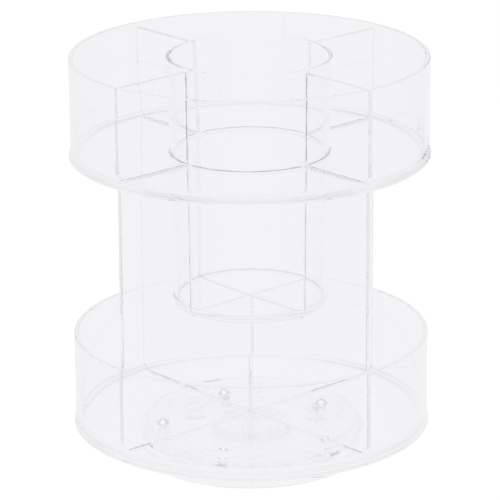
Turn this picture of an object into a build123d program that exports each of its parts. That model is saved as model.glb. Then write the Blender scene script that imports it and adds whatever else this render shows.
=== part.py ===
from build123d import *
import os

# A clear two-tier organizer that turns on a ball-bearing base.
# Millimetres, +Z up, origin on the ground under the centre of the base, front at -Y.

# Trays
rim_radius = 110.0
tray_wall = 3.0
tray_floor = 2.8
base_tray_depth = 55.3
top_tray_depth = 59.5
floor_fillet = 4.2
flange_proud = 1.0
flange_edge = 1.5
base_flare = 8.0
top_flare = 4.5
foot_ring_width = 6.0
foot_ring_drop = 1.2
rim_ease = 0.5

# Cross panels and dividers
panel_thickness = 3.0
panel_height = 168.3
web_height = 73.8
divider_drop = 1.9
panel_ease = 0.3
arm_angle = 45.0
wall_gap = 2.2
corner_gap = 0.5
lap_gap = 0.1
bond_gap = 0.1

# Brush cup
cup_rim_radius = 50.7
cup_foot_radius = 48.9
cup_wall = 2.5
cup_floor = 4.2
cup_foot_rounding = 2.5
cup_inner_rounding = 1.5
cup_gap = 0.3

# Ball bearing
ball_diameter = 8.0
ball_count = 5
ball_start_angle = 39.0
ball_track_radius = 56.6
ball_play = 0.1
retainer_thickness = 2.4
retainer_inner_margin = 2.7
retainer_outer_margin = 6.2
pocket_gap = 0.3
retainer_gap = 0.4

# Turntable base and top plate
base_skirt = 5.1
base_plate = 3.0
base_rim_wall = 3.5
base_rim_drop = 4.7
base_draft = 1.6
base_ease = 0.6
top_plate = 3.9
top_plate_gap = 1.4
bond_ring_width = 4.0
bond_ring_height = 2.1
foot_count = 4
foot_radius = 6.0
foot_proud = 0.8
foot_seat = 0.7
foot_ease = 0.4
foot_fit = 0.1
boss_wall = 1.5

# Pivot and its retaining screw
pivot_radius = 23.5
pivot_clearance = 0.05
pivot_wall = 2.0
pivot_gap = 0.8
post_radius = 5.9
post_gap = 0.3
washer_radius = 11.0
washer_thickness = 1.2
washer_gap = 0.2
seat_gap = 0.05
screw_radius = 1.9
screw_length = 12.0
screw_fit = 0.05
screw_tip_gap = 0.6
screw_head_radius = 4.0
screw_head_height = 2.0
screw_head_ease = 1.0
screw_drive_width = 1.0
screw_drive_reach = 2.2
screw_drive_depth = 1.2

# Heights, from the ground up
ball_radius = ball_diameter / 2
base_bottom = foot_proud
base_plate_under = base_bottom + base_skirt
base_plate_top = base_plate_under + base_plate
ball_height = base_plate_top + ball_play + ball_radius
top_plate_under = ball_height + ball_radius + ball_play
top_plate_top = top_plate_under + top_plate
bond_ring_top = top_plate_top + bond_ring_height
base_tray_under = bond_ring_top + bond_gap
base_tray_foot = base_tray_under - foot_ring_drop
base_floor_top = base_tray_under + tray_floor
base_rim_top = base_tray_foot - base_rim_drop
panel_bottom = base_floor_top + bond_gap
panel_top = panel_bottom + panel_height
web_top = panel_bottom + web_height
cup_bottom = web_top + bond_gap
top_tray_under = panel_top + bond_gap
top_floor_top = top_tray_under + tray_floor
top_rim = top_floor_top + top_tray_depth
post_end = base_plate_under - washer_gap
washer_top = post_end - seat_gap
washer_under = washer_top - washer_thickness
hub_top = top_plate_under - pivot_gap

# Radii and places that several pieces share
tray_inside = rim_radius - tray_wall
panel_reach = tray_inside - wall_gap
panel_corner = floor_fillet + corner_gap
pocket_radius = ball_radius + pocket_gap
retainer_inside = ball_track_radius - pocket_radius - retainer_inner_margin
retainer_outside = ball_track_radius + pocket_radius + retainer_outer_margin
base_rim_inside = retainer_outside + retainer_gap
base_radius = base_rim_inside + base_rim_wall
top_plate_radius = base_rim_inside - top_plate_gap
screw_hole = screw_radius + screw_fit
foot_places = PolarLocations(ball_track_radius, foot_count, start_angle=arm_angle)
ball_places = PolarLocations(ball_track_radius, ball_count, start_angle=ball_start_angle)
standing = (Align.CENTER, Align.CENTER, Align.MIN)


def cup_radius(height):
    """Outer radius of the drafted cup at a height above the ground."""
    share = (height - cup_bottom) / (top_rim - cup_bottom)
    return cup_foot_radius + share * (cup_rim_radius - cup_foot_radius)


def spun(section):
    """A half section turned about the upright axis, with its seam behind the back left arm."""
    return revolve(section, Axis.Z).rotate(Axis.Z, 90 + arm_angle)


def turned(corners):
    """A turned solid from the (radius, height) corners of its half section."""
    with BuildSketch(Plane.XZ) as section:
        with BuildLine():
            Polyline(corners, close=True)
        make_face()
    return spun(section.sketch)


def sheet(outline):
    """A flat panel along +X, cut to an outline of (reach, height) corners, with eased edges."""
    with BuildSketch(Plane.XZ) as face:
        with BuildLine():
            Polyline(outline, close=True)
        make_face()
    panel = extrude(face.sketch, panel_thickness / 2, both=True)
    return chamfer(panel.edges(), panel_ease)


def tray(foot, under, depth, flare, hole_radius):
    """A moulded round tray: flanged foot, straight wall and a floor with a rounded inner corner."""
    floor_top = under + tray_floor
    rim = floor_top + depth
    flange_radius = rim_radius + flange_proud
    ring_inside = rim_radius - foot_ring_width
    foot_ring = [(ring_inside, foot), (ring_inside, under)] if foot < under else []
    with BuildSketch(Plane.XZ) as section:
        with BuildLine():
            cove = TangentArc(
                [(rim_radius, foot + flare), (flange_radius, foot + flange_edge)], tangent=(0, -1)
            )
            Polyline(
                cove @ 1,
                (flange_radius, foot + rim_ease),
                (flange_radius - rim_ease, foot),
                *foot_ring,
                (hole_radius, under),
                (hole_radius, floor_top),
                (tray_inside, floor_top),
                (tray_inside, rim - rim_ease),
                (tray_inside + rim_ease, rim),
                (rim_radius - rim_ease, rim),
                (rim_radius, rim - rim_ease),
                cove @ 0,
            )
        make_face()
        floor_corner = section.vertices().sort_by_distance((tray_inside, floor_top))[0]
        fillet(floor_corner, floor_fillet)
    return spun(section.sketch)


parts = {}

# Turntable base: a raised plate that the balls roll on, with a rim, a pivot hub and foot bosses
post_hole = post_radius + post_gap
base_dish = turned(
    [
        (post_hole, base_plate_under),
        (base_rim_inside, base_plate_under),
        (base_rim_inside, base_bottom),
        (base_radius - base_draft - base_ease, base_bottom),
        (base_radius - base_draft, base_bottom + base_ease),
        (base_radius, base_rim_top - base_ease),
        (base_radius - base_ease, base_rim_top),
        (base_rim_inside, base_rim_top),
        (base_rim_inside, base_plate_top),
        (pivot_radius + pivot_wall, base_plate_top),
        (pivot_radius + pivot_wall, hub_top),
        (pivot_radius, hub_top),
        (pivot_radius, base_plate_top),
        (post_hole, base_plate_top),
    ]
)
pocket_edge = foot_radius + foot_fit
foot_boss = Pos(Z=base_bottom) * Cylinder(pocket_edge + boss_wall, base_skirt, align=standing)
foot_pocket = Cylinder(pocket_edge, foot_proud + foot_seat, align=standing)
parts["turntable_base"] = base_dish + foot_places * foot_boss - foot_places * foot_pocket

# Foot pads: soft discs that sit in shallow pockets under the bosses
foot_pad = Cylinder(foot_radius, foot_proud + foot_seat - bond_gap, align=standing)
foot_pad = chamfer(foot_pad.edges().group_by(Axis.Z)[0], foot_ease)
parts["foot_pads"] = Compound(foot_places * foot_pad)

# Bearing balls: an even ring of balls that roll between the two flat plates
for number, place in enumerate(ball_places, start=1):
    parts[f"bearing_ball_{number}"] = Pos(Z=ball_height) * place * Sphere(ball_radius)

# Ball retainer: a flat ring with a pocket for each ball, which runs inside the rim of the base
with BuildSketch() as retainer_face:
    Circle(retainer_outside)
    Circle(retainer_inside, mode=Mode.SUBTRACT)
    with ball_places:
        Circle(pocket_radius, mode=Mode.SUBTRACT)
retainer = extrude(retainer_face.sketch, retainer_thickness / 2, both=True)
parts["ball_retainer"] = Pos(Z=ball_height) * retainer

# Turntable top plate: a flat disc on the balls, with a ring bonded to the tray, a pivot sleeve and a post
sleeve_radius = pivot_radius - pivot_clearance
sleeve_end = base_plate_top + pivot_gap
screw_hole_end = post_end + screw_length
parts["turntable_top"] = turned(
    [
        (screw_hole, post_end),
        (post_radius, post_end),
        (post_radius, top_plate_under),
        (sleeve_radius - pivot_wall, top_plate_under),
        (sleeve_radius - pivot_wall, sleeve_end),
        (sleeve_radius, sleeve_end),
        (sleeve_radius, top_plate_under),
        (top_plate_radius - base_ease, top_plate_under),
        (top_plate_radius, top_plate_under + base_ease),
        (top_plate_radius, bond_ring_top),
        (top_plate_radius - bond_ring_width, bond_ring_top),
        (top_plate_radius - bond_ring_width, top_plate_top),
        (0, top_plate_top),
        (0, screw_hole_end),
        (screw_hole, screw_hole_end),
    ]
)

# Retaining washer: hooks the base plate from below, so that the carousel can't lift off
parts["retaining_washer"] = turned(
    [
        (screw_hole, washer_under),
        (washer_radius, washer_under),
        (washer_radius, washer_top),
        (screw_hole, washer_top),
    ]
)

# Pivot screw: a pan head with a cross drive, driven up through the washer into the post
head_top = washer_under - seat_gap
head_under = head_top - screw_head_height
screw_tip = screw_hole_end - screw_tip_gap
screw = turned(
    [
        (0, head_under),
        (screw_head_radius - screw_head_ease, head_under),
        (screw_head_radius, head_under + screw_head_ease),
        (screw_head_radius, head_top),
        (screw_radius, head_top),
        (screw_radius, screw_tip - screw_radius),
        (0, screw_tip),
    ]
)
drive_cross = Box(2 * screw_drive_reach, screw_drive_width, 2 * screw_drive_depth)
drive_cross += Box(screw_drive_width, 2 * screw_drive_reach, 2 * screw_drive_depth)
parts["pivot_screw"] = screw - Pos(Z=head_under) * drive_cross

# Base tray: the lower round tray, bonded on the turntable top plate
parts["base_tray"] = tray(base_tray_foot, base_tray_under, base_tray_depth, base_flare, 0)

# Cross panels: two notched sheets, half-lapped at the axis, which carry the cup and the top tray
lap_height = (panel_bottom + web_top) / 2
half_slot = panel_thickness / 2 + lap_gap
arm = [
    (panel_reach - panel_corner, panel_bottom),
    (panel_reach, panel_bottom + panel_corner),
    (panel_reach, panel_top),
    (cup_radius(panel_top) + cup_gap, panel_top),
    (cup_radius(web_top) + cup_gap, web_top),
]
far_arm = [(-reach, height) for reach, height in reversed(arm)]
slot_above = [
    (half_slot, web_top),
    (half_slot, lap_height - lap_gap),
    (-half_slot, lap_height - lap_gap),
    (-half_slot, web_top),
]
slot_below = [
    (-half_slot, panel_bottom),
    (-half_slot, lap_height + lap_gap),
    (half_slot, lap_height + lap_gap),
    (half_slot, panel_bottom),
]
parts["cross_panel_slot_above"] = sheet(arm + slot_above + far_arm).rotate(Axis.Z, arm_angle)
parts["cross_panel_slot_below"] = sheet(arm + far_arm + slot_below).rotate(Axis.Z, 90 + arm_angle)

# Brush cup: a deep drafted tumbler that stands on the crossing and passes through the top tray
cup_floor_top = cup_bottom + cup_floor
cup_inner_foot = cup_radius(cup_floor_top) - cup_wall
cup_inner_rim = cup_rim_radius - cup_wall
with BuildSketch(Plane.XZ) as cup_section:
    with BuildLine():
        Polyline(
            (0, cup_bottom),
            (cup_foot_radius, cup_bottom),
            (cup_rim_radius, top_rim - rim_ease),
            (cup_rim_radius - rim_ease, top_rim),
            (cup_inner_rim + rim_ease, top_rim),
            (cup_inner_rim, top_rim - rim_ease),
            (cup_inner_foot, cup_floor_top),
            (0, cup_floor_top),
            close=True,
        )
    make_face()
    fillet(cup_section.vertices().sort_by_distance((cup_foot_radius, cup_bottom))[0], cup_foot_rounding)
    fillet(cup_section.vertices().sort_by_distance((cup_inner_foot, cup_floor_top))[0], cup_inner_rounding)
parts["brush_cup"] = spun(cup_section.sketch)

# Top tray: the upper round tray, with a hole that the cup passes through
cup_hole = cup_radius(top_floor_top) + cup_gap
parts["top_tray"] = tray(top_tray_under, top_tray_under, top_tray_depth, top_flare, cup_hole)

# Upper dividers: short sheets between the cup and the tray wall, one over each arm of the cross
divider_bottom = top_floor_top + bond_gap
divider_top = top_rim - divider_drop
divider = sheet(
    [
        (cup_radius(divider_bottom) + cup_gap, divider_bottom),
        (panel_reach - panel_corner, divider_bottom),
        (panel_reach, divider_bottom + panel_corner),
        (panel_reach, divider_top),
        (cup_radius(divider_top) + cup_gap, divider_top),
    ]
)
for quarter, side in enumerate(("back_right", "back_left", "front_left", "front_right")):
    parts[f"upper_divider_{side}"] = divider.rotate(Axis.Z, arm_angle + 90 * quarter)

os.makedirs("parts", exist_ok=True)
for name, solid in parts.items():
    export_step(solid, f"parts/{name}.step")
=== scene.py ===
from math import atan2, cos, hypot, pi, radians, sin

import bmesh
import bpy
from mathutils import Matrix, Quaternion, Vector


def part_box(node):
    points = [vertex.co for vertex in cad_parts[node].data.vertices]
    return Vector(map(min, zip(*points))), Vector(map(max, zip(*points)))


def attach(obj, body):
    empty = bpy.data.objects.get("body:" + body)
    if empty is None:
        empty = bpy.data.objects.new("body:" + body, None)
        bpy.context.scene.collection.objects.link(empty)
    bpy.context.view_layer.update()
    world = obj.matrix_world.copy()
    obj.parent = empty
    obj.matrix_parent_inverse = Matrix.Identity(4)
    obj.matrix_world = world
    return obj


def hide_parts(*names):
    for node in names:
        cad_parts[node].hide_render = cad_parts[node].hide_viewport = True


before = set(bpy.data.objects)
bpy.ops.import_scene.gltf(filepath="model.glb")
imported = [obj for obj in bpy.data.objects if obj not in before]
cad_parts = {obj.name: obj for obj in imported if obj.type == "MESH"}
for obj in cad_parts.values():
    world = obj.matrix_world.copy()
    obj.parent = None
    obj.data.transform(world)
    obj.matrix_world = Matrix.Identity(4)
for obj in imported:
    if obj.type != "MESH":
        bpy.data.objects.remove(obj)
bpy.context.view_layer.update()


# Foot pads
# Four soft bumpers of clear silicone, pressed into pockets in the bosses under the turntable base.
# Each is moulded with a rolled edge, and with ring grooves in its sole that grip the table.
pads_low, pads_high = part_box("foot_pads")
pad_radius = 0.006
pad_reach = (pads_high.x - pad_radius) / cos(pi / 4)
pad_height = pads_high.z - pads_low.z
pad_roll = 0.0004
sole_land = 0.0011
sole_grooves = 2
groove_slope = 0.00015
groove_depth = 0.00025
groove_width = 0.0005


def pick_faces(piece, wanted):
    """Selects, in edit mode, only the faces whose middle and normal pass a test."""
    bpy.ops.mesh.select_mode(type="FACE")
    bpy.ops.mesh.select_all(action="DESELECT")
    shape = bmesh.from_edit_mesh(piece.data)
    for face in shape.faces:
        face.select_set(wanted(face.calc_center_median(), face.normal))
    bmesh.update_edit_mesh(piece.data)


def pick_edges(piece, wanted):
    """Selects, in edit mode, only the edges whose two ends pass a test."""
    bpy.ops.mesh.select_mode(type="EDGE")
    bpy.ops.mesh.select_all(action="DESELECT")
    shape = bmesh.from_edit_mesh(piece.data)
    for edge in shape.edges:
        edge.select_set(wanted(*(end.co for end in edge.verts)))
    bmesh.update_edit_mesh(piece.data)


def add_node(tree, kind, inputs=None, **settings):
    """Adds a shader node with its settings, and with the values of its unlinked inputs."""
    made = tree.nodes.new(kind)
    for name, value in settings.items():
        setattr(made, name, value)
    for name, value in (inputs or {}).items():
        made.inputs[name].default_value = value
    return made


def soft_silicone():
    """Milky clear rubber with the fine grain of its mould and paler, drier patches."""
    material = bpy.data.materials.new("soft_silicone")
    material.use_nodes = True
    tree = material.node_tree
    rubber = tree.nodes["Principled BSDF"]
    rubber.inputs["IOR"].default_value = 1.41
    rubber.inputs["Transmission Weight"].default_value = 1.0
    place = add_node(tree, "ShaderNodeTexCoord")
    patches = add_node(tree, "ShaderNodeTexNoise", {"Scale": 320.0, "Detail": 3.0})
    tone = add_node(tree, "ShaderNodeValToRGB")
    tone.color_ramp.elements[0].color = (0.93, 0.94, 0.95, 1)
    tone.color_ramp.elements[1].color = (0.98, 0.98, 0.99, 1)
    dry = add_node(tree, "ShaderNodeMapRange", {"To Min": 0.1, "To Max": 0.22})
    grain = add_node(tree, "ShaderNodeTexNoise", {"Scale": 5200.0, "Detail": 2.0})
    relief = add_node(tree, "ShaderNodeBump", {"Strength": 0.4, "Distance": 0.00003})
    tree.links.new(place.outputs["Object"], patches.inputs["Vector"])
    tree.links.new(place.outputs["Object"], grain.inputs["Vector"])
    tree.links.new(patches.outputs["Fac"], tone.inputs["Fac"])
    tree.links.new(patches.outputs["Fac"], dry.inputs["Value"])
    tree.links.new(grain.outputs["Fac"], relief.inputs["Height"])
    tree.links.new(tone.outputs["Color"], rubber.inputs["Base Color"])
    tree.links.new(dry.outputs["Result"], rubber.inputs["Roughness"])
    tree.links.new(relief.outputs["Normal"], rubber.inputs["Normal"])
    return material


bpy.ops.object.select_all(action="DESELECT")
bpy.ops.mesh.primitive_cylinder_add(
    vertices=64, radius=pad_radius, depth=pad_height, location=(pad_reach, 0, pads_low.z + pad_height / 2)
)
first_pad = bpy.context.object
bpy.ops.object.mode_set(mode="EDIT")
pick_faces(first_pad, lambda middle, normal: normal.z < -0.9)
for groove in range(sole_grooves):
    bpy.ops.mesh.inset(thickness=sole_land)
    bpy.ops.mesh.inset(thickness=groove_slope, depth=-groove_depth)
    bpy.ops.mesh.inset(thickness=groove_width)
    bpy.ops.mesh.inset(thickness=groove_slope, depth=groove_depth)
pick_edges(
    first_pad,
    lambda one, other: all(hypot(end.x, end.y) > pad_radius - pad_roll for end in (one, other))
    and abs(one.z - other.z) < pad_roll,
)
bpy.ops.mesh.bevel(offset=pad_roll, segments=4, affect="EDGES")
bpy.ops.object.mode_set(mode="OBJECT")
bpy.ops.object.shade_smooth_by_angle(angle=radians(40))
bpy.ops.object.transform_apply(location=True)
first_pad.data.materials.append(soft_silicone())

arms = {0: "back_right", 1: "back_left", 2: "front_left", 3: "front_right"}


def on_arms(piece, name, chosen):
    """Copies a piece that lies along +X to the chosen arms of the cross, counted from the back right one."""
    copies = []
    for quarter, side in chosen.items():
        bpy.ops.object.select_all(action="DESELECT")
        piece.select_set(True)
        bpy.context.view_layer.objects.active = piece
        bpy.ops.object.duplicate()
        copy = bpy.context.object
        copy.name = f"{name}_{side}"
        copy.data.name = copy.name
        bpy.ops.transform.rotate(value=-(quarter + 0.5) * pi / 2, orient_axis="Z", center_override=(0, 0, 0))
        bpy.ops.object.transform_apply(location=True, rotation=True)
        copies.append(copy)
    bpy.data.objects.remove(piece)
    return copies


for pad in on_arms(first_pad, "foot_pad", arms):
    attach(pad, "stand")
    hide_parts("foot_pads")


# Turntable base
# The lower half of the bearing, one clear moulding: a plate that the balls roll on, with a rim and a hub.
# It is injection moulded, so its faces are glossy, with a faint ripple and the smears of handling.
# The hub and the rim are turned to size: they are a little rough, and greyed with painted shade.
base_low, base_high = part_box("turntable_base")
track_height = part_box("bearing_ball_1")[0].z
hub_radius = 0.0255
edge_ease = 0.0003
polish = 0.006
# The grey of the painted shade on cut edges and in the cup's corners
edge_grey = (0.3, 0.3, 0.31, 1)
out_of_reach = 9


def handled_gloss():
    """A group for glossy plastic that has been handled: smears and specks, and the ripple of the mould."""
    group = bpy.data.node_groups.new("handled_gloss", "ShaderNodeTree")
    socket = group.interface.new_socket
    for name, value in (("Smears", 0.018), ("Ripple Scale", 14.0)):
        socket(name=name, in_out="INPUT", socket_type="NodeSocketFloat").default_value = value
    for name in ("Roughness", "Ripple"):
        socket(name=name, in_out="OUTPUT", socket_type="NodeSocketFloat")
    given = add_node(group, "NodeGroupInput")
    result = add_node(group, "NodeGroupOutput")
    place = add_node(group, "ShaderNodeTexCoord")
    stretch = add_node(group, "ShaderNodeMapping", {"Scale": (1.0, 1.0, 0.35)})
    wipes = add_node(group, "ShaderNodeTexNoise", {"Scale": 30.0, "Detail": 4.0, "Distortion": 0.6})
    wiped = add_node(group, "ShaderNodeMapRange", {"From Min": 0.52, "From Max": 0.72})
    specks = add_node(group, "ShaderNodeTexNoise", {"Scale": 850.0, "Detail": 1.0})
    specked = add_node(group, "ShaderNodeMapRange", {"From Min": 0.7, "From Max": 0.78})
    marks = add_node(group, "ShaderNodeMath", operation="MAXIMUM")
    rough = add_node(group, "ShaderNodeMath", {2: polish}, operation="MULTIPLY_ADD")
    swell = add_node(group, "ShaderNodeTexNoise", {"Detail": 1.0, "Roughness": 0.35})
    link = group.links.new
    link(place.outputs["Object"], stretch.inputs["Vector"])
    link(stretch.outputs["Vector"], wipes.inputs["Vector"])
    link(wipes.outputs["Fac"], wiped.inputs["Value"])
    link(place.outputs["Object"], specks.inputs["Vector"])
    link(specks.outputs["Fac"], specked.inputs["Value"])
    link(wiped.outputs["Result"], marks.inputs[0])
    link(specked.outputs["Result"], marks.inputs[1])
    link(marks.outputs["Value"], rough.inputs[0])
    link(given.outputs["Smears"], rough.inputs[1])
    link(place.outputs["Object"], swell.inputs["Vector"])
    link(given.outputs["Ripple Scale"], swell.inputs["Scale"])
    link(rough.outputs["Value"], result.inputs["Roughness"])
    link(swell.outputs["Fac"], result.inputs["Ripple"])
    return group


gloss_group = handled_gloss()


def clear_plastic(name, smears, ripple_scale, ripple_depth, density):
    """Clear plastic that bends what is seen through it, and lets most of the light through to the table."""
    material = bpy.data.materials.new(name)
    material.use_nodes = True
    tree = material.node_tree
    body = tree.nodes["Principled BSDF"]
    body.inputs["Base Color"].default_value = (1, 1, 1, 1)
    body.inputs["IOR"].default_value = 1.49
    body.inputs["Transmission Weight"].default_value = 1.0
    surface = add_node(tree, "ShaderNodeGroup", node_tree=gloss_group)
    surface.inputs["Smears"].default_value = smears
    surface.inputs["Ripple Scale"].default_value = ripple_scale
    relief = add_node(tree, "ShaderNodeBump", {"Strength": 1.0, "Distance": ripple_depth})
    passing = add_node(tree, "ShaderNodeBsdfTransparent", {"Color": (0.97, 0.97, 0.97, 1)})
    ray = add_node(tree, "ShaderNodeLightPath")
    either = add_node(tree, "ShaderNodeMixShader")
    tint = add_node(tree, "ShaderNodeVolumeAbsorption", {"Color": (0.0, 0.1, 0.3, 1), "Density": density})
    output = tree.nodes["Material Output"]
    tree.links.new(surface.outputs["Roughness"], body.inputs["Roughness"])
    tree.links.new(surface.outputs["Ripple"], relief.inputs["Height"])
    tree.links.new(relief.outputs["Normal"], body.inputs["Normal"])
    tree.links.new(ray.outputs["Is Shadow Ray"], either.inputs[0])
    tree.links.new(body.outputs["BSDF"], either.inputs[1])
    tree.links.new(passing.outputs["BSDF"], either.inputs[2])
    tree.links.new(either.outputs["Shader"], output.inputs["Surface"])
    tree.links.new(tint.outputs["Volume"], output.inputs["Volume"])
    return material


def dress(node, material):
    """Puts a material on every slot of a CAD node."""
    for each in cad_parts[node].material_slots:
        each.material = material


def joined(tree, operation, first, second):
    """Joins two values in a Math node. The second may be a plain number."""
    made = add_node(tree, "ShaderNodeMath", operation=operation)
    tree.links.new(first, made.inputs[0])
    if isinstance(second, float):
        made.inputs[1].default_value = second
    else:
        tree.links.new(second, made.inputs[1])
    return made.outputs["Value"]


def reach_and_height(tree):
    """How far a point of a piece is from the axis, how high it is, and its place."""
    place = add_node(tree, "ShaderNodeTexCoord")
    split = add_node(tree, "ShaderNodeSeparateXYZ")
    flat = add_node(tree, "ShaderNodeVectorMath", {1: (1.0, 1.0, 0.0)}, operation="MULTIPLY")
    reach = add_node(tree, "ShaderNodeVectorMath", operation="LENGTH")
    tree.links.new(place.outputs["Object"], split.inputs["Vector"])
    tree.links.new(place.outputs["Object"], flat.inputs[0])
    tree.links.new(flat.outputs["Vector"], reach.inputs[0])
    return reach.outputs["Value"], split.outputs["Z"], place.outputs["Object"]


def grey_where(material, mask):
    """Greys a clear material where the mask is high, as painted shade."""
    tree = material.node_tree
    shade = add_node(tree, "ShaderNodeValToRGB")
    shade.color_ramp.elements[0].color = (1, 1, 1, 1)
    shade.color_ramp.elements[1].color = edge_grey
    tree.links.new(mask, shade.inputs["Fac"])
    tree.links.new(shade.outputs["Color"], tree.nodes["Principled BSDF"].inputs["Base Color"])


def cut_edges():
    """A group that finds the cut edges of a piece: its end, its foot and top, and its notch or hub. Its Edge
    output masks painted shade there, and its Tool Marks roughen them.
    """
    group = bpy.data.node_groups.new("cut_edges", "ShaderNodeTree")
    socket = group.interface.new_socket
    for name, side in (("Reach", 1), ("Foot", -1), ("Top", 1), ("Notch Foot", 1)):
        socket(name=name, in_out="INPUT", socket_type="NodeSocketFloat").default_value = side * out_of_reach
    for name in ("Notch At Ground", "Notch Slope", "End Tone", "Foot Tone", "Notch Tone"):
        socket(name=name, in_out="INPUT", socket_type="NodeSocketFloat")
    for name in ("Edge", "Tool Marks"):
        socket(name=name, in_out="OUTPUT", socket_type="NodeSocketFloat")
    given = add_node(group, "NodeGroupInput").outputs
    result = add_node(group, "NodeGroupOutput")
    away, height, place = reach_and_height(group)
    link = group.links.new

    def near(first, second):
        """1 where the first value passes the second or comes within an eased edge of it, and 0 elsewhere."""
        starts, full = -1.3 * edge_ease, -0.9 * edge_ease
        mask = add_node(group, "ShaderNodeMapRange", {"From Min": starts, "From Max": full})
        link(joined(group, "SUBTRACT", first, second), mask.inputs["Value"])
        return mask.outputs["Result"]

    notch_lean = joined(group, "MULTIPLY", height, given["Notch Slope"])
    notch_reach = joined(group, "ADD", given["Notch At Ground"], notch_lean)
    end = near(away, given["Reach"])
    foot = joined(group, "MAXIMUM", near(height, given["Top"]), near(given["Foot"], height))
    notch = joined(group, "MULTIPLY", near(notch_reach, away), near(height, given["Notch Foot"]))
    cut = joined(group, "MAXIMUM", end, notch)
    end = joined(group, "MULTIPLY", end, given["End Tone"])
    foot = joined(group, "MULTIPLY", foot, given["Foot Tone"])
    notch = joined(group, "MULTIPLY", notch, given["Notch Tone"])
    tool_marks_and_shade_noise = add_node(group, "ShaderNodeTexNoise", {"Scale": 1500.0, "Detail": 2.0})
    uneven = add_node(group, "ShaderNodeMapRange", {"To Min": 0.75, "To Max": 1.1})
    link(place, tool_marks_and_shade_noise.inputs["Vector"])
    link(tool_marks_and_shade_noise.outputs["Fac"], uneven.inputs["Value"])
    # The painted shade along the edges is made uneven by the same noise as the tool marks
    edge = joined(group, "MAXIMUM", joined(group, "MAXIMUM", end, foot), notch)
    link(joined(group, "MULTIPLY", edge, uneven.outputs["Result"]), result.inputs["Edge"])
    link(joined(group, "MULTIPLY", cut, tool_marks_and_shade_noise.outputs["Fac"]), result.inputs["Tool Marks"])
    return group


edge_group = cut_edges()


def mark_edges(material, frost, **sizes):
    """Roughens the cut edges of a clear material, and greys them with painted shade, at the places and in the
    tones given.
    """
    tree = material.node_tree
    body = tree.nodes["Principled BSDF"]
    edges = add_node(tree, "ShaderNodeGroup", node_tree=edge_group)
    for name, value in sizes.items():
        edges.inputs[name.replace("_", " ").title()].default_value = value
    rough = add_node(tree, "ShaderNodeMath", {1: frost}, operation="MULTIPLY_ADD")
    gloss = body.inputs["Roughness"].links[0].from_socket
    tree.links.new(edges.outputs["Tool Marks"], rough.inputs[0])
    tree.links.new(gloss, rough.inputs[2])
    tree.links.new(rough.outputs["Value"], body.inputs["Roughness"])
    grey_where(material, edges.outputs["Edge"])


turned_plastic = clear_plastic(
    "turned_plastic", smears=0.018, ripple_scale=22.0, ripple_depth=0.00001, density=0.1
)
mark_edges(
    turned_plastic,
    frost=0.05,
    reach=base_high.x,
    foot=base_low.z,
    notch_at_ground=hub_radius,
    notch_foot=track_height + 2 * edge_ease,
    end_tone=0.06,
    foot_tone=0.2,
    notch_tone=0.1,
)
dress("turntable_base", turned_plastic)


# Bearing balls
# Five loose balls of hardened steel, ground to a satin shine, that carry the carousel.
# They roll on the base plate, and their tracks leave a fine haze of scratches on them.
def polished_steel():
    """Bright ground steel with a fine haze of scratches."""
    material = bpy.data.materials.new("polished_steel")
    material.use_nodes = True
    tree = material.node_tree
    metal = tree.nodes["Principled BSDF"]
    metal.inputs["Metallic"].default_value = 1.0
    place = add_node(tree, "ShaderNodeTexCoord")
    haze = add_node(tree, "ShaderNodeTexNoise", {"Scale": 420.0, "Detail": 5.0, "Distortion": 1.2})
    tone = add_node(tree, "ShaderNodeValToRGB")
    tone.color_ramp.elements[0].color = (0.74, 0.745, 0.75, 1)
    tone.color_ramp.elements[1].color = (0.82, 0.825, 0.83, 1)
    worn = add_node(tree, "ShaderNodeMapRange", {"To Min": 0.34, "To Max": 0.42})
    scratch_and_shade_noise = add_node(tree, "ShaderNodeTexNoise", {"Scale": 2600.0, "Detail": 2.0, "Distortion": 3.0})
    relief = add_node(tree, "ShaderNodeBump", {"Strength": 0.1, "Distance": 0.00001})
    tree.links.new(place.outputs["Object"], haze.inputs["Vector"])
    tree.links.new(place.outputs["Object"], scratch_and_shade_noise.inputs["Vector"])
    tree.links.new(haze.outputs["Fac"], tone.inputs["Fac"])
    tree.links.new(haze.outputs["Fac"], worn.inputs["Value"])
    tree.links.new(scratch_and_shade_noise.outputs["Fac"], relief.inputs["Height"])
    tree.links.new(tone.outputs["Color"], metal.inputs["Base Color"])
    tree.links.new(worn.outputs["Result"], metal.inputs["Roughness"])
    tree.links.new(relief.outputs["Normal"], metal.inputs["Normal"])
    return material


steel = polished_steel()
ball_nodes = [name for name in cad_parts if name.startswith("bearing_ball")]
for name in ball_nodes:
    dress(name, steel)


# Ball retainer
# A flat ring with a pocket for each ball, stamped from the same clear plastic as the turntable.
# It lies loose inside the rim of the base, and the balls drag it round.
turntable_plastic = clear_plastic(
    "turntable_plastic", smears=0.018, ripple_scale=22.0, ripple_depth=0.00001, density=0.1
)
dress("ball_retainer", turntable_plastic)


# Turntable top plate
# The upper half of the bearing: a flat clear disc on the balls, with a pivot sleeve and a post.
# A raised ring round its edge is cemented to the underside of the base tray.
dress("turntable_top", turntable_plastic)


# Retaining washer and pivot screw
# A washer and a pan head screw of clear nylon, which hold the carousel down on its bearing.
# The screw is moulded with its thread, and goes up through the washer into the post.
screw_low, screw_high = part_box("pivot_screw")
head_radius = 0.004
head_height = 0.002
head_roll = 0.001
drive_reach = 0.0022
drive_width = 0.001
drive_depth = 0.0012
thread_radius = 0.0019
thread_pitch = 0.0008
thread_depth = 0.0004
thread_rings = 8
tip_radius = 0.0003


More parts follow.
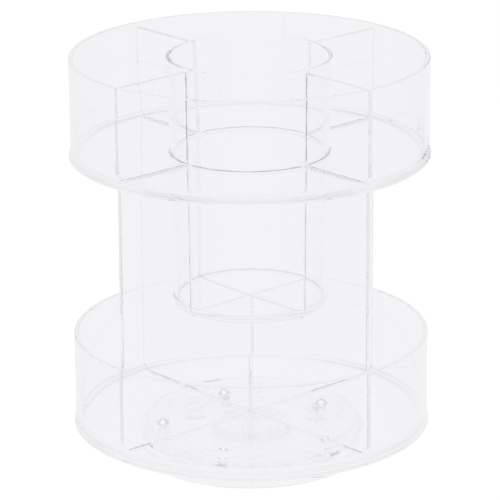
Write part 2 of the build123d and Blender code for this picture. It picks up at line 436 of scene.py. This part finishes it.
def clear_nylon():
    """Cloudy clear nylon, with flow lines from the mould and a satin face."""
    material = bpy.data.materials.new("cloudy_nylon")
    material.use_nodes = True
    tree = material.node_tree
    body = tree.nodes["Principled BSDF"]
    body.inputs["IOR"].default_value = 1.53
    body.inputs["Transmission Weight"].default_value = 1.0
    place = add_node(tree, "ShaderNodeTexCoord")
    flow = add_node(tree, "ShaderNodeTexNoise", {"Scale": 240.0, "Detail": 3.0, "Distortion": 1.5})
    tone = add_node(tree, "ShaderNodeValToRGB")
    tone.color_ramp.elements[0].color = (0.97, 0.97, 0.98, 1)
    tone.color_ramp.elements[1].color = (1.0, 1.0, 1.0, 1)
    satin = add_node(tree, "ShaderNodeMapRange", {"To Min": 0.01, "To Max": 0.08})
    relief = add_node(tree, "ShaderNodeBump", {"Strength": 0.2, "Distance": 0.00001})
    tree.links.new(place.outputs["Object"], flow.inputs["Vector"])
    tree.links.new(flow.outputs["Fac"], tone.inputs["Fac"])
    tree.links.new(flow.outputs["Fac"], satin.inputs["Value"])
    tree.links.new(flow.outputs["Fac"], relief.inputs["Height"])
    tree.links.new(tone.outputs["Color"], body.inputs["Base Color"])
    tree.links.new(satin.outputs["Result"], body.inputs["Roughness"])
    tree.links.new(relief.outputs["Normal"], body.inputs["Normal"])
    return material


def combine(piece, other, operation):
    """Cuts another solid out of a piece or joins it to the piece, and deletes the other solid."""
    bpy.ops.object.select_all(action="DESELECT")
    piece.select_set(True)
    bpy.context.view_layer.objects.active = piece
    change = piece.modifiers.new("combine", "BOOLEAN")
    change.operation = operation
    change.object = other
    change.solver = "EXACT"
    bpy.ops.object.modifier_apply(modifier=change.name)
    bpy.data.objects.remove(other)


nylon = clear_nylon()
dress("retaining_washer", nylon)

bpy.ops.object.select_all(action="DESELECT")
bpy.ops.mesh.primitive_cylinder_add(
    vertices=48, radius=head_radius, depth=head_height, location=(0, 0, screw_low.z + head_height / 2)
)
screw = bpy.context.object
bpy.ops.object.mode_set(mode="EDIT")
pick_edges(screw, lambda one, other: one.z < 0 and other.z < 0)
bpy.ops.mesh.bevel(offset=head_roll, segments=5, affect="EDGES")
bpy.ops.object.mode_set(mode="OBJECT")
for turn in (0, pi / 2):
    bpy.ops.object.select_all(action="DESELECT")
    bpy.ops.mesh.primitive_cube_add(size=1, location=(0, 0, screw_low.z), rotation=(0, 0, turn))
    slot_cutter = bpy.context.object
    slot_cutter.scale = (2 * drive_reach, drive_width, 2 * drive_depth)
    bpy.ops.object.transform_apply(location=True, rotation=True, scale=True)
    combine(screw, slot_cutter, "DIFFERENCE")

shank_low = screw_low.z + head_height / 2
shank_height = screw_high.z - shank_low
bpy.ops.object.select_all(action="DESELECT")
bpy.ops.mesh.primitive_cylinder_add(
    vertices=28, radius=thread_radius, depth=shank_height, location=(0, 0, shank_low + shank_height / 2)
)
shank = bpy.context.object
bpy.ops.object.transform_apply(location=True)
bpy.ops.object.mode_set(mode="EDIT")
pick_edges(shank, lambda one, other: abs(one.z - other.z) > shank_height / 2)
bpy.ops.mesh.subdivide(number_cuts=round(thread_rings * shank_height / thread_pitch))
bpy.ops.object.mode_set(mode="OBJECT")
for corner in shank.data.vertices:
    turns = (corner.co.z - shank_low) / thread_pitch - atan2(corner.co.y, corner.co.x) / (2 * pi)
    crest = thread_radius - thread_depth * abs(2 * (turns % 1) - 1)
    point = tip_radius + screw_high.z - corner.co.z
    share = min(crest, point) / hypot(corner.co.x, corner.co.y)
    corner.co.x *= share
    corner.co.y *= share
combine(screw, shank, "UNION")
bpy.ops.object.transform_apply(location=True)
bpy.ops.object.shade_smooth_by_angle(angle=radians(30))
screw.name = "nylon_screw"
screw.data.name = screw.name
screw.data.materials.clear()
screw.data.materials.append(nylon)
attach(screw, "carousel")
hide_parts("pivot_screw")


# Base tray
# The lower round tray, a clear injection moulding with a flanged foot, cemented on the turntable.
# Its thin tall wall is polished like glass, with a slow ripple from the mould.
# Its rim is trimmed and eased, a little rough, and greyed a little with painted shade.
rim_tone = 0.12
tray_acrylic = clear_plastic(
    "tray_acrylic", smears=0.018, ripple_scale=12.0, ripple_depth=0.00008, density=0.05
)
mark_edges(tray_acrylic, frost=0.1, top=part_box("base_tray")[1].z, foot_tone=rim_tone)
dress("base_tray", tray_acrylic)


# Cross panels
# Two notched sheets of cast acrylic, half-lapped at the axis and cemented to the floor of the base tray.
# They are cut on a saw: their faces are clear, and their edges are a little rough, and greyed with painted
# shade.
cup_low, cup_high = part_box("brush_cup")
panel_low, panel_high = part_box("cross_panel_slot_above")
cup_foot_radius = 0.0489
cup_gap = 0.0003
sheet_half = 0.0015
panel_reach = panel_high.x / cos(pi / 4) - (sheet_half - edge_ease)
cup_slope = (cup_high.x - cup_foot_radius) / (cup_high.z - cup_low.z)
notch_at_ground = cup_foot_radius + cup_gap - cup_slope * cup_low.z
panel_sheet = clear_plastic(
    "panel_sheet", smears=0.016, ripple_scale=6.0, ripple_depth=0.00005, density=0.05
)
mark_edges(
    panel_sheet,
    frost=0.15,
    reach=panel_reach,
    foot=panel_low.z,
    top=panel_high.z,
    notch_at_ground=notch_at_ground,
    notch_slope=cup_slope,
    notch_foot=cup_low.z,
    end_tone=0.03,
    foot_tone=0.1,
    notch_tone=0.05,
)
dress("cross_panel_slot_above", panel_sheet)
dress("cross_panel_slot_below", panel_sheet)


# Brush cup
# A deep clear tumbler with drafted sides, which stands on the crossing of the panels.
# It is moulded in one piece, with a thick floor. The corner inside, where floor meets wall, and the edge
# that it stands on are greyed with painted shade.
cup_wall = 0.0025
cup_floor = 0.0042
cup_floor_height = cup_low.z + cup_floor
# How far the painted shade reaches, and how grey it is, in the inside corner and round the foot
corner_reach = 0.0014
corner_rise = 0.0009
corner_grey = 0.5
foot_reach = 0.0012
foot_rise = 0.0014
foot_grey = 0.35


def paint_corner_shade(material, floor_radius):
    """Paints shade as grey into the corner inside a cup, where its floor meets its wall, and onto the edge
    that it stands on.
    """
    tree = material.node_tree
    reach, height, place = reach_and_height(tree)
    # Noise that makes the painted shade uneven
    scratch_and_shade_noise = add_node(tree, "ShaderNodeTexNoise", {"Scale": 700.0, "Detail": 2.0})
    uneven = add_node(tree, "ShaderNodeMapRange", {"To Min": 0.6, "To Max": 1.0})
    tree.links.new(place, scratch_and_shade_noise.inputs["Vector"])
    tree.links.new(scratch_and_shade_noise.outputs["Fac"], uneven.inputs["Value"])

    def fade(value, off, on):
        """Rises from 0 to 1 between two values, in either direction."""
        mask = add_node(tree, "ShaderNodeMapRange", {"From Min": off, "From Max": on})
        tree.links.new(value, mask.inputs["Value"])
        return mask.outputs["Result"]

    wall_side = floor_radius + cup_wall / 4
    floor_side = cup_floor_height - corner_rise / 4
    from_axis = fade(reach, floor_radius - corner_reach, floor_radius - 0.7 * corner_reach)
    to_wall = fade(reach, wall_side, wall_side - cup_wall / 20)
    from_top = fade(height, cup_floor_height + corner_rise, cup_floor_height + 0.6 * corner_rise)
    to_floor = fade(height, floor_side, floor_side + corner_rise / 20)
    across = joined(tree, "MULTIPLY", from_axis, to_wall)
    corner = joined(tree, "MULTIPLY", across, joined(tree, "MULTIPLY", from_top, to_floor))
    round_foot = fade(reach, cup_foot_radius - foot_reach, cup_foot_radius - 0.7 * foot_reach)
    near_foot = fade(height, cup_low.z + foot_rise, cup_low.z + 0.7 * foot_rise)
    foot = joined(tree, "MULTIPLY", round_foot, near_foot)
    corner = joined(tree, "MULTIPLY", corner, corner_grey)
    foot = joined(tree, "MULTIPLY", foot, foot_grey)
    painted_shade = joined(tree, "MAXIMUM", corner, foot)
    grey_where(material, joined(tree, "MULTIPLY", painted_shade, uneven.outputs["Result"]))


cup_acrylic = clear_plastic(
    "cup_acrylic", smears=0.018, ripple_scale=16.0, ripple_depth=0.00008, density=0.04
)
floor_edge = cup_foot_radius + cup_slope * (cup_floor_height - cup_low.z) - cup_wall
paint_corner_shade(cup_acrylic, floor_edge)
dress("brush_cup", cup_acrylic)


# Top tray
# The upper round tray, moulded and trimmed like the lower one, with a hole that the cup passes through.
# The hole is cut after moulding, and is cemented to the cup. Its edge, like the rim, is greyed with painted
# shade.
tray_low, tray_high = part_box("top_tray")
tray_floor = 0.0028
hole_radius = notch_at_ground + cup_slope * (tray_low.z + tray_floor)
drilled_acrylic = clear_plastic(
    "drilled_acrylic", smears=0.018, ripple_scale=10.0, ripple_depth=0.00006, density=0.05
)
mark_edges(
    drilled_acrylic,
    frost=0.1,
    top=tray_high.z,
    notch_at_ground=hole_radius,
    notch_foot=tray_low.z,
    foot_tone=rim_tone,
    notch_tone=0.06,
)
dress("top_tray", drilled_acrylic)


# Upper dividers
# Four short sheets of cast acrylic between the cup and the wall of the top tray, one over each arm.
# They are sawn and cemented like the cross panels, and stop just short of the rim.
divider_low, divider_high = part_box("upper_divider_back_right")
divider_sheet = clear_plastic(
    "divider_sheet", smears=0.016, ripple_scale=8.0, ripple_depth=0.00005, density=0.05
)
mark_edges(
    divider_sheet,
    frost=0.15,
    reach=panel_reach,
    foot=divider_low.z,
    top=divider_high.z,
    notch_at_ground=notch_at_ground,
    notch_slope=cup_slope,
    notch_foot=divider_low.z,
    end_tone=0.03,
    foot_tone=0.1,
    notch_tone=0.05,
)
for side in arms.values():
    dress(f"upper_divider_{side}", divider_sheet)


# Cement beads
# Clear cement that was run in from behind, where sheets, cup and trays are bonded to each other.
# It dries to narrow hollow beads, a little uneven and cloudy, which show as fine grey lines.
# Those at the dividers are thicker, and their cement is painted darker as shade.
panel_leg = 0.0006
divider_leg = 0.0008
bead_gap = 0.00003
bead_hollow = 0.9
bead_cuts = 32
bead_waves = 3.4
bead_swell = 0.15
bead_tip = 0.3
end_taper = 14
cement_film = 0.0001
wall_clearance = 0.0052
back_bead_start = 0.052
front_bead_start = 0.082
base_floor = panel_low.z - cement_film
top_floor = divider_low.z - cement_film
foot_end = panel_reach - wall_clearance
quarters = {0: "right", 1: "back", 2: "left", 3: "front"}


def dried_cement(name, darkest, palest):
    """Cloudy dried cement with tiny bubbles, its tone varying at random between the darkest and palest given.
    """
    material = bpy.data.materials.new(name)
    material.use_nodes = True
    tree = material.node_tree
    body = tree.nodes["Principled BSDF"]
    body.inputs["IOR"].default_value = 1.46
    body.inputs["Transmission Weight"].default_value = 1.0
    place = add_node(tree, "ShaderNodeTexCoord")
    clouds = add_node(tree, "ShaderNodeTexNoise", {"Scale": 420.0, "Detail": 4.0})
    tone = add_node(tree, "ShaderNodeValToRGB")
    tone.color_ramp.elements[0].color = (darkest, darkest, 1.02 * darkest, 1)
    tone.color_ramp.elements[1].color = (palest, palest, 1.02 * palest, 1)
    cloudy = add_node(tree, "ShaderNodeMapRange", {"To Min": 0.05, "To Max": 0.25})
    bubbles = add_node(tree, "ShaderNodeTexVoronoi", {"Scale": 2600.0})
    relief = add_node(tree, "ShaderNodeBump", {"Strength": 0.3, "Distance": 0.00005})
    tree.links.new(place.outputs["Object"], clouds.inputs["Vector"])
    tree.links.new(place.outputs["Object"], bubbles.inputs["Vector"])
    tree.links.new(clouds.outputs["Fac"], tone.inputs["Fac"])
    tree.links.new(clouds.outputs["Fac"], cloudy.inputs["Value"])
    tree.links.new(bubbles.outputs["Distance"], relief.inputs["Height"])
    tree.links.new(tone.outputs["Color"], body.inputs["Base Color"])
    tree.links.new(cloudy.outputs["Result"], body.inputs["Roughness"])
    tree.links.new(relief.outputs["Normal"], body.inputs["Normal"])
    return material


def cement_bar(corner, far, run):
    """A hollow bar of cement that fills a corner, towards the far point, and runs along one axis."""
    across = [axis for axis in range(3) if axis != run]
    length = far[run] - corner[run]
    leg = abs(far[across[0]] - corner[across[0]])
    bpy.ops.object.select_all(action="DESELECT")
    bpy.ops.mesh.primitive_cube_add(size=1, location=(corner + far) / 2)
    bar = bpy.context.object
    bar.scale = [abs(there - here) for here, there in zip(corner, far)]
    bpy.ops.object.transform_apply(location=True, scale=True)

    def outermost(one, other):
        return all(abs(end[axis] - far[axis]) < leg / 10 for end in (one, other) for axis in across)

    bpy.ops.object.mode_set(mode="EDIT")
    pick_edges(bar, outermost)
    bpy.ops.mesh.bevel(offset=bead_hollow * leg, segments=4, profile=0.1, affect="EDGES")
    pick_edges(bar, lambda one, other: abs(one[run] - other[run]) > length / 2)
    bpy.ops.mesh.subdivide(number_cuts=bead_cuts)
    bpy.ops.object.mode_set(mode="OBJECT")
    for point in bar.data.vertices:
        share = (point.co[run] - corner[run]) / length
        swell = 1 - bead_swell + bead_swell * sin(2 * pi * bead_waves * share)
        swell *= min(1, bead_tip + end_taper * share, bead_tip + end_taper * (1 - share))
        for axis in across:
            point.co[axis] = corner[axis] + swell * (point.co[axis] - corner[axis])
    bpy.ops.object.shade_smooth_by_angle(angle=radians(40))
    return bar


def wall_bead(face, low, high, leg):
    """A bead on one face of a sheet, up the slanting wall of the cup."""
    cup_face = cup_foot_radius + cup_slope * (low - cup_low.z)
    corner = Vector((cup_face + bead_gap, face * (sheet_half + bead_gap), low))
    bar = cement_bar(corner, Vector((corner.x + leg, corner.y + face * leg, high)), 2)
    for point in bar.data.vertices:
        point.co.x += cup_slope * (point.co.z - low)
    return bar


def floor_bead(face, start, floor, leg):
    """A bead on one face of a sheet, along the floor that it stands on."""
    corner = Vector((start, face * (sheet_half + bead_gap), floor + bead_gap))
    return cement_bar(corner, Vector((foot_end, corner.y + face * leg, corner.z + leg)), 0)


def hole_bead(leg):
    """A bead round a quarter of the hole in the top tray, between two dividers."""
    radius = hole_radius - cup_gap + bead_gap
    clear_of_sheet = (sheet_half + 2 * leg) / radius
    corner = Vector((0, 0, top_floor + bead_gap))
    bar = cement_bar(corner, Vector((radius * (pi / 2 - 2 * clear_of_sheet), leg, corner.z + leg)), 0)
    for point in bar.data.vertices:
        turn = -clear_of_sheet - point.co.x / radius
        reach = radius + point.co.y
        point.co.x = reach * cos(turn)
        point.co.y = reach * sin(turn)
    return bar


thin_cement = dried_cement("dried_cement", darkest=0.56, palest=0.8)
# The divider beads get a darker copy of the cement, as painted shade
thick_shaded_cement = dried_cement("thick_shaded_cement", darkest=0.35, palest=0.6)
beads = on_arms(hole_bead(panel_leg), "hole_bead", quarters)
for face, behind, ahead in ((1, 0, 3), (-1, 1, 2)):
    both_arms = {behind: arms[behind], ahead: arms[ahead]}
    back_foot = floor_bead(face, back_bead_start, base_floor, panel_leg)
    front_foot = floor_bead(face, front_bead_start, base_floor, panel_leg)
    wall = wall_bead(face, cup_low.z + panel_leg, panel_high.z - panel_leg, panel_leg)
    ledge = floor_bead(face, hole_radius + 3 * panel_leg, top_floor, panel_leg)
    tall = wall_bead(face, divider_low.z + divider_leg, divider_high.z - divider_leg, divider_leg)
    beads += on_arms(back_foot, "foot_bead", {behind: arms[behind]})
    beads += on_arms(front_foot, "foot_bead", {ahead: arms[ahead]})
    beads += on_arms(wall, "cup_bead", {ahead: arms[ahead]})
    beads += on_arms(ledge, "ledge_bead", both_arms)
    beads += on_arms(tall, "divider_bead", {ahead: arms[ahead]})
for bead in beads:
    bead.data.materials.append(thick_shaded_cement if bead.name.startswith("divider") else thin_cement)
    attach(bead, "carousel")


# Table
# A plain white table top under the organizer, which keeps its soft shadow.
# Clear plastic and steel see it in the same pale grey as the light tent that stands round it,
# and a little greyer far out at its two sides.
table_radius = 6.0
table_drop = 0.00005
table_middle = 0.3
tent_grey = (0.9, 0.9, 0.917, 1)


def by_ray(tree, seen, bent, lit):
    """One look for the camera, one for what plastic and steel show, and one for light on its way."""
    ray = add_node(tree, "ShaderNodeLightPath").outputs
    through = joined(tree, "MAXIMUM", ray["Is Glossy Ray"], ray["Is Transmission Ray"])
    look = lit
    for factor, other in ((through, bent), (ray["Is Camera Ray"], seen)):
        mix = add_node(tree, "ShaderNodeMixShader")
        tree.links.new(factor, mix.inputs[0])
        tree.links.new(look, mix.inputs[1])
        tree.links.new(other, mix.inputs[2])
        look = mix.outputs["Shader"]
    return look


bpy.ops.object.select_all(action="DESELECT")
bpy.ops.mesh.primitive_circle_add(vertices=96, radius=table_radius, fill_type="NGON")
bpy.context.object.location.z = -table_drop
bpy.ops.object.transform_apply(location=True)
table = bpy.context.object
table.name = "table"
material = bpy.data.materials.new("white_table")
material.use_nodes = True
tree = material.node_tree
tree.nodes.clear()
shadowed = add_node(tree, "ShaderNodeBsdfDiffuse", {"Color": (0.2, 0.2, 0.2, 1)})
white = add_node(tree, "ShaderNodeEmission", {"Strength": 0.86})
seen = add_node(tree, "ShaderNodeAddShader")
grey = add_node(tree, "ShaderNodeEmission", {"Color": tent_grey})
lit = add_node(tree, "ShaderNodeBsdfDiffuse", {"Color": (0.85, 0.85, 0.85, 1)})
place = add_node(tree, "ShaderNodeTexCoord")
split = add_node(tree, "ShaderNodeSeparateXYZ")
away = add_node(tree, "ShaderNodeVectorMath", operation="LENGTH")
aside = add_node(tree, "ShaderNodeMath", operation="ABSOLUTE")
flank = add_node(tree, "ShaderNodeMapRange", {"From Min": 0.28, "From Max": 0.5, "To Min": 1, "To Max": 0.95})
output = add_node(tree, "ShaderNodeOutputMaterial")
tree.links.new(shadowed.outputs["BSDF"], seen.inputs[0])
tree.links.new(white.outputs["Emission"], seen.inputs[1])
tree.links.new(place.outputs["Object"], split.inputs["Vector"])
tree.links.new(place.outputs["Object"], away.inputs[0])
tree.links.new(split.outputs["X"], aside.inputs[0])
beyond = joined(tree, "ADD", away.outputs["Value"], table_middle)
tree.links.new(joined(tree, "DIVIDE", aside.outputs["Value"], beyond), flank.inputs["Value"])
tree.links.new(flank.outputs["Result"], grey.inputs["Strength"])
look = by_ray(tree, seen.outputs["Shader"], grey.outputs["Emission"], lit.outputs["BSDF"])
tree.links.new(look, output.inputs["Surface"])
table.data.materials.append(material)


# Light tent
# A white tent round the table: the camera sees it white, and plastic and steel see it pale grey,
# a little greyer higher up and at its two sides, and paler in the middle of its top.
tent = bpy.data.worlds.new("light_tent")
bpy.context.scene.world = tent
tent.use_nodes = True
tree = tent.node_tree
tree.nodes.clear()
place = add_node(tree, "ShaderNodeTexCoord")
split = add_node(tree, "ShaderNodeSeparateXYZ")
aside = add_node(tree, "ShaderNodeMath", operation="ABSOLUTE")
flank = add_node(tree, "ShaderNodeMapRange", {"From Min": 0.45, "From Max": 0.7, "To Min": 1, "To Max": 0.93})
dimmed = add_node(tree, "ShaderNodeVectorMath", operation="SCALE")
cloth = add_node(tree, "ShaderNodeValToRGB")
heights = cloth.color_ramp.elements
heights[0].position, heights[0].color = 0.35, tent_grey
heights[1].position, heights[1].color = 0.9, tent_grey
for position, level in ((0.6, 0.78), (0.76, 0.76)):
    heights.new(position).color = (level, level, 1.02 * level, 1)
lit = add_node(tree, "ShaderNodeBackground", {"Color": (1, 1, 1, 1), "Strength": 0.6})
grey = add_node(tree, "ShaderNodeBackground")
white = add_node(tree, "ShaderNodeBackground", {"Color": (1, 1, 1, 1)})
output = add_node(tree, "ShaderNodeOutputWorld")
tree.links.new(place.outputs["Generated"], split.inputs["Vector"])
tree.links.new(split.outputs["Z"], cloth.inputs["Fac"])
tree.links.new(split.outputs["X"], aside.inputs[0])
tree.links.new(aside.outputs["Value"], flank.inputs["Value"])
tree.links.new(cloth.outputs["Color"], dimmed.inputs[0])
tree.links.new(flank.outputs["Result"], dimmed.inputs["Scale"])
tree.links.new(dimmed.outputs["Vector"], grey.inputs["Color"])
look = by_ray(tree, white.outputs["Background"], grey.outputs["Background"], lit.outputs["Background"])
tree.links.new(look, output.inputs["Surface"])


# Lamp
# One large soft lamp above and in front of the organizer, which gives the table its faint shadow.
# It isn't mirrored in the plastic, because the tent's cloth hides it.
lamp_place = Vector((-0.4, -0.5, 1.6))
lamp_target = Vector((0, 0, 0.1))
lamp = bpy.data.lights.new("soft_lamp", "AREA")
lamp.shape = "DISK"
lamp.size = 1.2
lamp.energy = 18
lamp_object = bpy.data.objects.new("soft_lamp", lamp)
lamp_object.location = lamp_place
lamp_object.rotation_euler = (lamp_target - lamp_place).to_track_quat("-Z", "Y").to_euler()
lamp_object.visible_transmission = False
lamp_object.visible_glossy = False
bpy.context.scene.collection.objects.link(lamp_object)


# Glint
# A small bare bulb above and in front of the organizer, which puts a bright point on each steel ball.
# It lights nothing else, so that no hard shadow falls on the table.
bulb_place = (-0.1, -0.8, 1.4)
bulb = bpy.data.lights.new("glint", "POINT")
bulb.shadow_soft_size = 0
bulb.energy = 180
bulb_object = bpy.data.objects.new("glint", bulb)
bulb_object.location = bulb_place
bpy.context.scene.collection.objects.link(bulb_object)
lit_balls = bpy.data.collections.new("lit_balls")
for name in ball_nodes:
    lit_balls.objects.link(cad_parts[name])
bulb_object.light_linking.receiver_collection = lit_balls


# Camera
# A long lens a little above the organizer, almost square to the front, as in the photograph.
# It leans by a third of a degree, and looks at the middle of the organizer.
azimuth = radians(3.0)
elevation = radians(17.9)
lean = radians(-0.373)
distance = 2.0738
middle_height = 0.13225
framing = Vector((-0.00030, -0.00046, 0))
back = Vector((sin(azimuth) * cos(elevation), -cos(azimuth) * cos(elevation), sin(elevation)))
facing = (-back).to_track_quat("-Z", "Y") @ Quaternion((0, 0, 1), lean)
lens = bpy.data.cameras.new("photo_camera")
lens.lens = 241.36
lens.sensor_width = 36
camera = bpy.data.objects.new("photo_camera", lens)
camera.rotation_mode = "QUATERNION"
camera.rotation_quaternion = facing
camera.location = Vector((0, 0, middle_height)) + facing @ framing + distance * back
scene = bpy.context.scene
scene.collection.objects.link(camera)
scene.camera = camera

# Light runs a long way inside clear plastic, from edge to edge, before it comes out
most_bounces = 400
scene.cycles.max_bounces = most_bounces
scene.cycles.transmission_bounces = most_bounces
scene.cycles.glossy_bounces = most_bounces
scene.cycles.transparent_max_bounces = most_bounces
scene.cycles.sample_clamp_indirect = 3.0
scene.view_settings.view_transform = "Standard"
